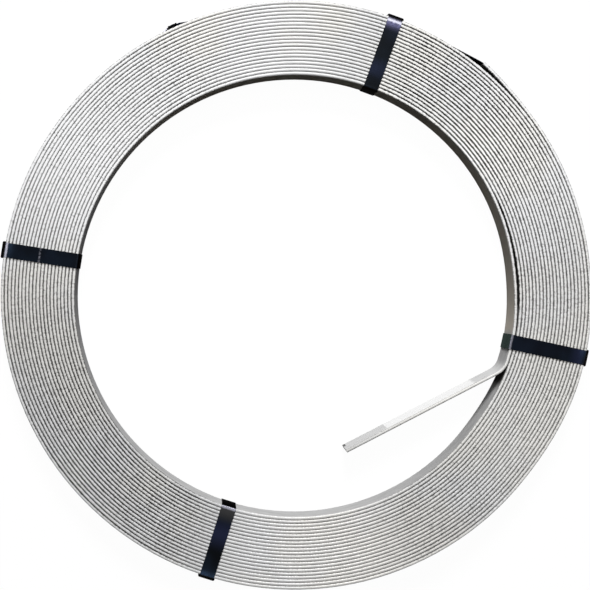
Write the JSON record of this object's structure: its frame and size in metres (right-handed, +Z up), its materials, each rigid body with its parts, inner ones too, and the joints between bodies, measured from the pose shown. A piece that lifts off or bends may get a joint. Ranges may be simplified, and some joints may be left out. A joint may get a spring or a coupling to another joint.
{
  "type": "steel strip coil",
  "caption": "Coil of galvanised flat steel strip lying on its end, bound by cross straps and a girth strap with crimped seals, its inner end bent in as a tail.",
  "frame": {"origin": "on the coil's axis at the level of the cross straps' undersides, which lie on the floor", "axes": "+Z up along the coil's axis; +X and +Y lie in the end face, with the bent tail's root at 343 degrees counter-clockwise from +X and the outer tip at 51 degrees"},
  "size_m": [0.6403, 0.6371, 0.0318],
  "materials": {
    "galvanised_strip": "hot-dip galvanised, matte and slightly mottled",
    "strapping": "blue-black lacquered steel strapping, glossy",
    "seal_steel": "dark lacquered crimped seal, satin"
  },
  "bodies": {
    "root": {"steel_strip": "galvanised_strip", "girth_strap": "strapping", "cross_strap_a": "strapping", "cross_strap_b": "strapping", "cross_strap_c": "strapping", "cross_strap_d": "strapping", "girth_strap_seal": "seal_steel", "cross_strap_seal_a": "seal_steel", "cross_strap_seal_b": "seal_steel", "cross_strap_seal_c": "seal_steel", "cross_strap_seal_d": "seal_steel"}
  },
  "joints": []
}
